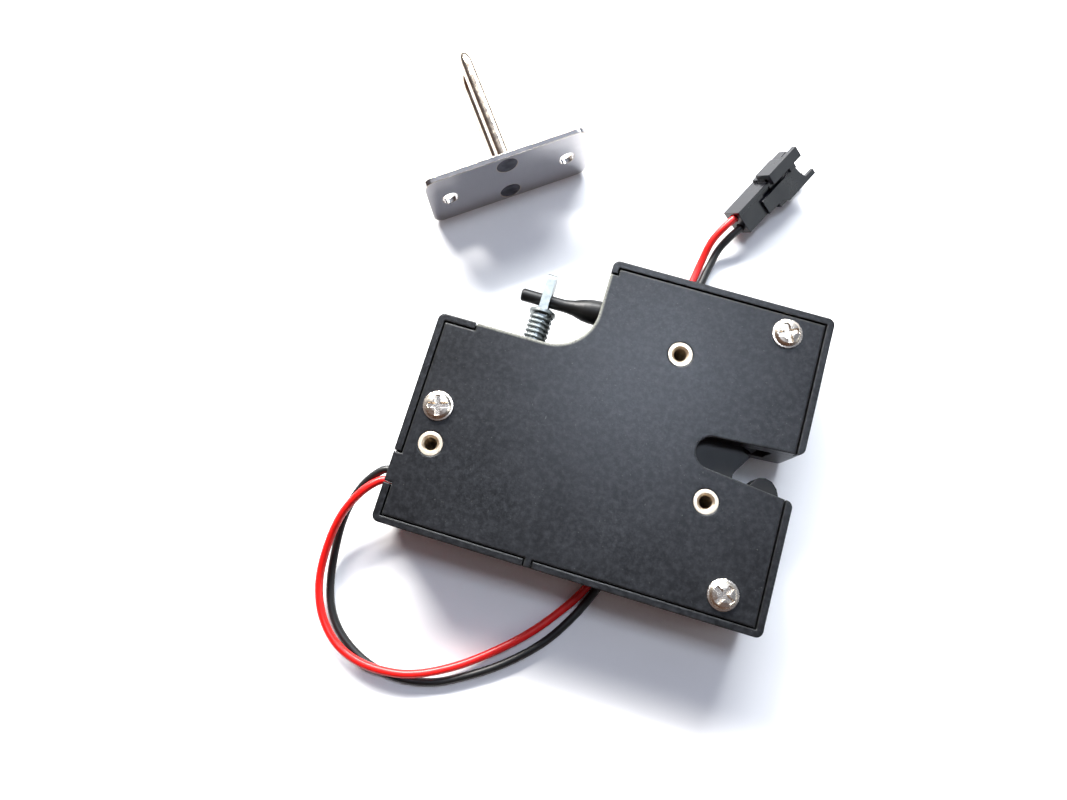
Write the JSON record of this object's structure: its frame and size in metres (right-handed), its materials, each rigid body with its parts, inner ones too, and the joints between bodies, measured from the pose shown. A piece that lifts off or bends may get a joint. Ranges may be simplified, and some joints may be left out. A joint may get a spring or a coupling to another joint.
{
  "type": "magnetic door lock",
  "caption": "Flat black solenoid door lock with a rotary claw, spring plunger and release lever, two-wire lead with plug, and its loose striker plate with a U rod.",
  "frame": {"origin": "middle of the case outline, on the plane of the three mounting boss faces at the back, which is also the surface it lies on", "axes": "+X along the long side to the mouth, +Y to the side with the plunger and lever, +Z out of the front cover"},
  "size_m": [0.0895, 0.1294, 0.0166],
  "materials": {
    "case_plastic": "fine moulded grain, worn rim",
    "cover_plastic": "fine moulded grain, dusty, small scratches",
    "screw_nickel": "bright nickel plate",
    "post_nickel": "bright nickel plate",
    "zinc_steel": "zinc plated, dull",
    "bobbin_nylon": "natural nylon",
    "copper_wire": null,
    "amber_tape": "amber wrap tape",
    "tinned_brass": "tinned",
    "black_sleeve": "heat-shrink sleeve",
    "plunger_steel": "nickel plated",
    "spring_steel": "drawn wire",
    "lever_nylon": "smooth black nylon",
    "claw_nylon": "smooth black nylon",
    "red_pvc": "smooth insulation",
    "black_pvc": "smooth insulation",
    "plug_nylon": "smooth black nylon",
    "striker_steel": "polished nickel plate",
    "rod_steel": "polished nickel plate"
  },
  "bodies": {
    "case": {"rear_case": "case_plastic", "front_cover": "cover_plastic", "cover_screws": "screw_nickel", "lever_post": "post_nickel", "claw_post": "post_nickel", "mounting_spacer": "post_nickel", "solenoid_yoke": "zinc_steel", "solenoid_bobbin": "bobbin_nylon", "coil_winding": "copper_wire", "coil_tape": "amber_tape", "core_stop": "zinc_steel", "terminal_pins": "tinned_brass", "splice_sleeves": "black_sleeve", "plunger_spring": "spring_steel", "claw_spring": "spring_steel", "claw_washer": "zinc_steel", "lead_red": "red_pvc", "lead_black": "black_pvc", "plug_shell": "plug_nylon", "plug_bridge": "plug_nylon", "plug_pins": "tinned_brass"},
    "plunger": {"plunger": "plunger_steel", "plunger_tongue": "zinc_steel", "plunger_washer": "zinc_steel"},
    "lever": {"release_lever": "lever_nylon"},
    "claw": {"claw": "claw_nylon"},
    "striker": {"striker_plate": "striker_steel", "striker_rod": "rod_steel"}
  },
  "joints": [
    {"name": "plunger_slide", "type": "slide", "parent": "case", "child": "plunger", "axis": [0, -1, 0], "range_m": [-0.0022, 0.004], "stiffness_N_per_m": 80, "springref_m": -0.0023, "deforming": ["plunger_spring"]},
    {"name": "lever_swing", "type": "hinge", "parent": "case", "child": "lever", "pos_m": [0.0099, 0.0157, 0.0085], "axis": [0, 0, 1], "range_deg": [-4.6, 8.3]},
    {"name": "claw_swing", "type": "hinge", "parent": "case", "child": "claw", "pos_m": [0.0213, -0.0099, 0.0085], "axis": [0, 0, 1], "range_deg": [0, 53], "stiffness_Nm_per_rad": 0.002, "springref_deg": -17.19},
    {"name": "strike_lift", "type": "slide", "parent": "case", "child": "striker", "axis": [0, 0, 1], "range_m": [0, 0.04]}
  ],
  "couplings": [
    {"joint": "lever_swing", "follows": "plunger_slide", "rad_per_m": 35.6}
  ]
}
